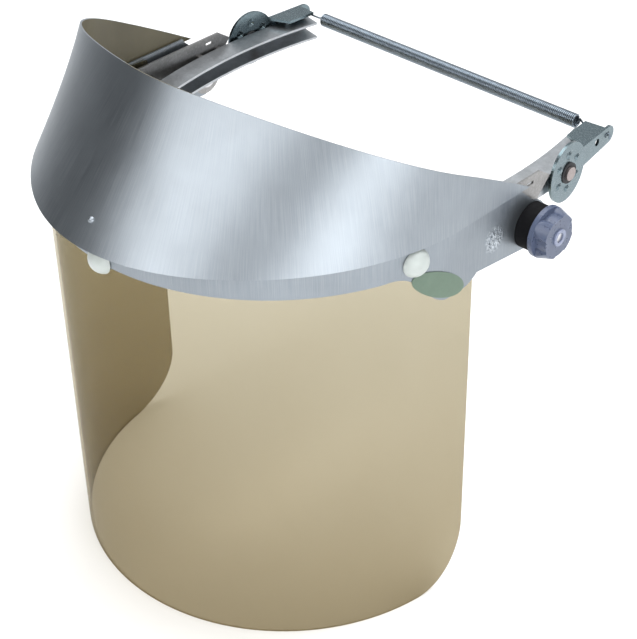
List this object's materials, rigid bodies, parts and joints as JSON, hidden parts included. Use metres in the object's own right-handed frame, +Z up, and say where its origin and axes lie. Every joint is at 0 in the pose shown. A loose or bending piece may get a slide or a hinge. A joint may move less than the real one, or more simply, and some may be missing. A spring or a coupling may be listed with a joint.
{
  "type": "hat-mounted face shield",
  "caption": "Face shield for a hard hat: clear curved window under a flared metal brow guard, swinging on side knobs from two brim rails, with a spring behind the head.",
  "frame": {"origin": "on the plane of symmetry, at mid height of the two rails that slide onto the hat's brim, just ahead of the knobs", "axes": "+X towards the wearer's left, +Z up; the wearer looks along -Y"},
  "size_m": [0.2728, 0.2636, 0.2933],
  "materials": {
    "crown_aluminium": "satin, fine upright brushing",
    "band_aluminium": "satin",
    "visor_sheet": "clear, warm smoke tint, glossy",
    "label_film": "matt green film, plain",
    "rail_aluminium": "mill finish",
    "bracket_aluminium": "mill finish",
    "bolt_steel": "bright zinc",
    "washer_steel": "bright zinc",
    "spacer_rubber": "matt black",
    "knob_plastic": "blue-grey, slightly translucent",
    "insert_nylon": "white",
    "arm_zinc": "blue zinc plate",
    "rivet_steel": "pinkish grey, dull",
    "arm_washer_fibre": "black",
    "spring_steel": "blue zinc plate",
    "button_nylon": "milky white"
  },
  "bodies": {
    "rails": {"brim_rail_left": "rail_aluminium", "brim_rail_right": "rail_aluminium", "pivot_bracket_left": "bracket_aluminium", "pivot_bracket_right": "bracket_aluminium", "knob_bolt_left": "bolt_steel", "knob_bolt_right": "bolt_steel", "ear_washer_left": "washer_steel", "ear_washer_right": "washer_steel"},
    "shield": {"crown": "crown_aluminium", "rim_band": "band_aluminium", "visor": "visor_sheet", "side_label": "label_film", "button_front": "button_nylon", "button_left": "button_nylon", "button_right": "button_nylon", "button_keeper_front": "button_nylon", "button_keeper_left": "button_nylon", "button_keeper_right": "button_nylon", "friction_spacer_left": "spacer_rubber", "friction_spacer_right": "spacer_rubber"},
    "knob_left": {"knob_left": "knob_plastic", "knob_insert_left": "insert_nylon", "knob_washer_left": "washer_steel"},
    "knob_right": {"knob_right": "knob_plastic", "knob_insert_right": "insert_nylon", "knob_washer_right": "washer_steel"},
    "rear_retainer": {"rear_arm_left": "arm_zinc", "rear_arm_right": "arm_zinc", "arm_rivet_left": "rivet_steel", "arm_rivet_right": "rivet_steel", "arm_washer_left": "arm_washer_fibre", "arm_washer_right": "arm_washer_fibre", "detent_washer_left": "arm_washer_fibre", "detent_washer_right": "arm_washer_fibre", "tension_spring": "spring_steel"}
  },
  "joints": [
    {"name": "shield_tilt", "type": "hinge", "parent": "rails", "child": "shield", "pos_m": [0, 0.003, -0.0105], "axis": [-1, 0, 0], "range_deg": [-8, 85]},
    {"name": "knob_turn_left", "type": "hinge", "parent": "rails", "child": "knob_left", "pos_m": [0.13, 0.003, -0.0105], "axis": [1, 0, 0], "range_deg": [0, 360]},
    {"name": "knob_turn_right", "type": "hinge", "parent": "rails", "child": "knob_right", "pos_m": [-0.13, 0.003, -0.0105], "axis": [-1, 0, 0], "range_deg": [0, 360]},
    {"name": "retainer_swing", "type": "hinge", "parent": "rails", "child": "rear_retainer", "pos_m": [0, 0.0385, 0.0012], "axis": [1, 0, 0], "range_deg": [-4, 60]}
  ]
}
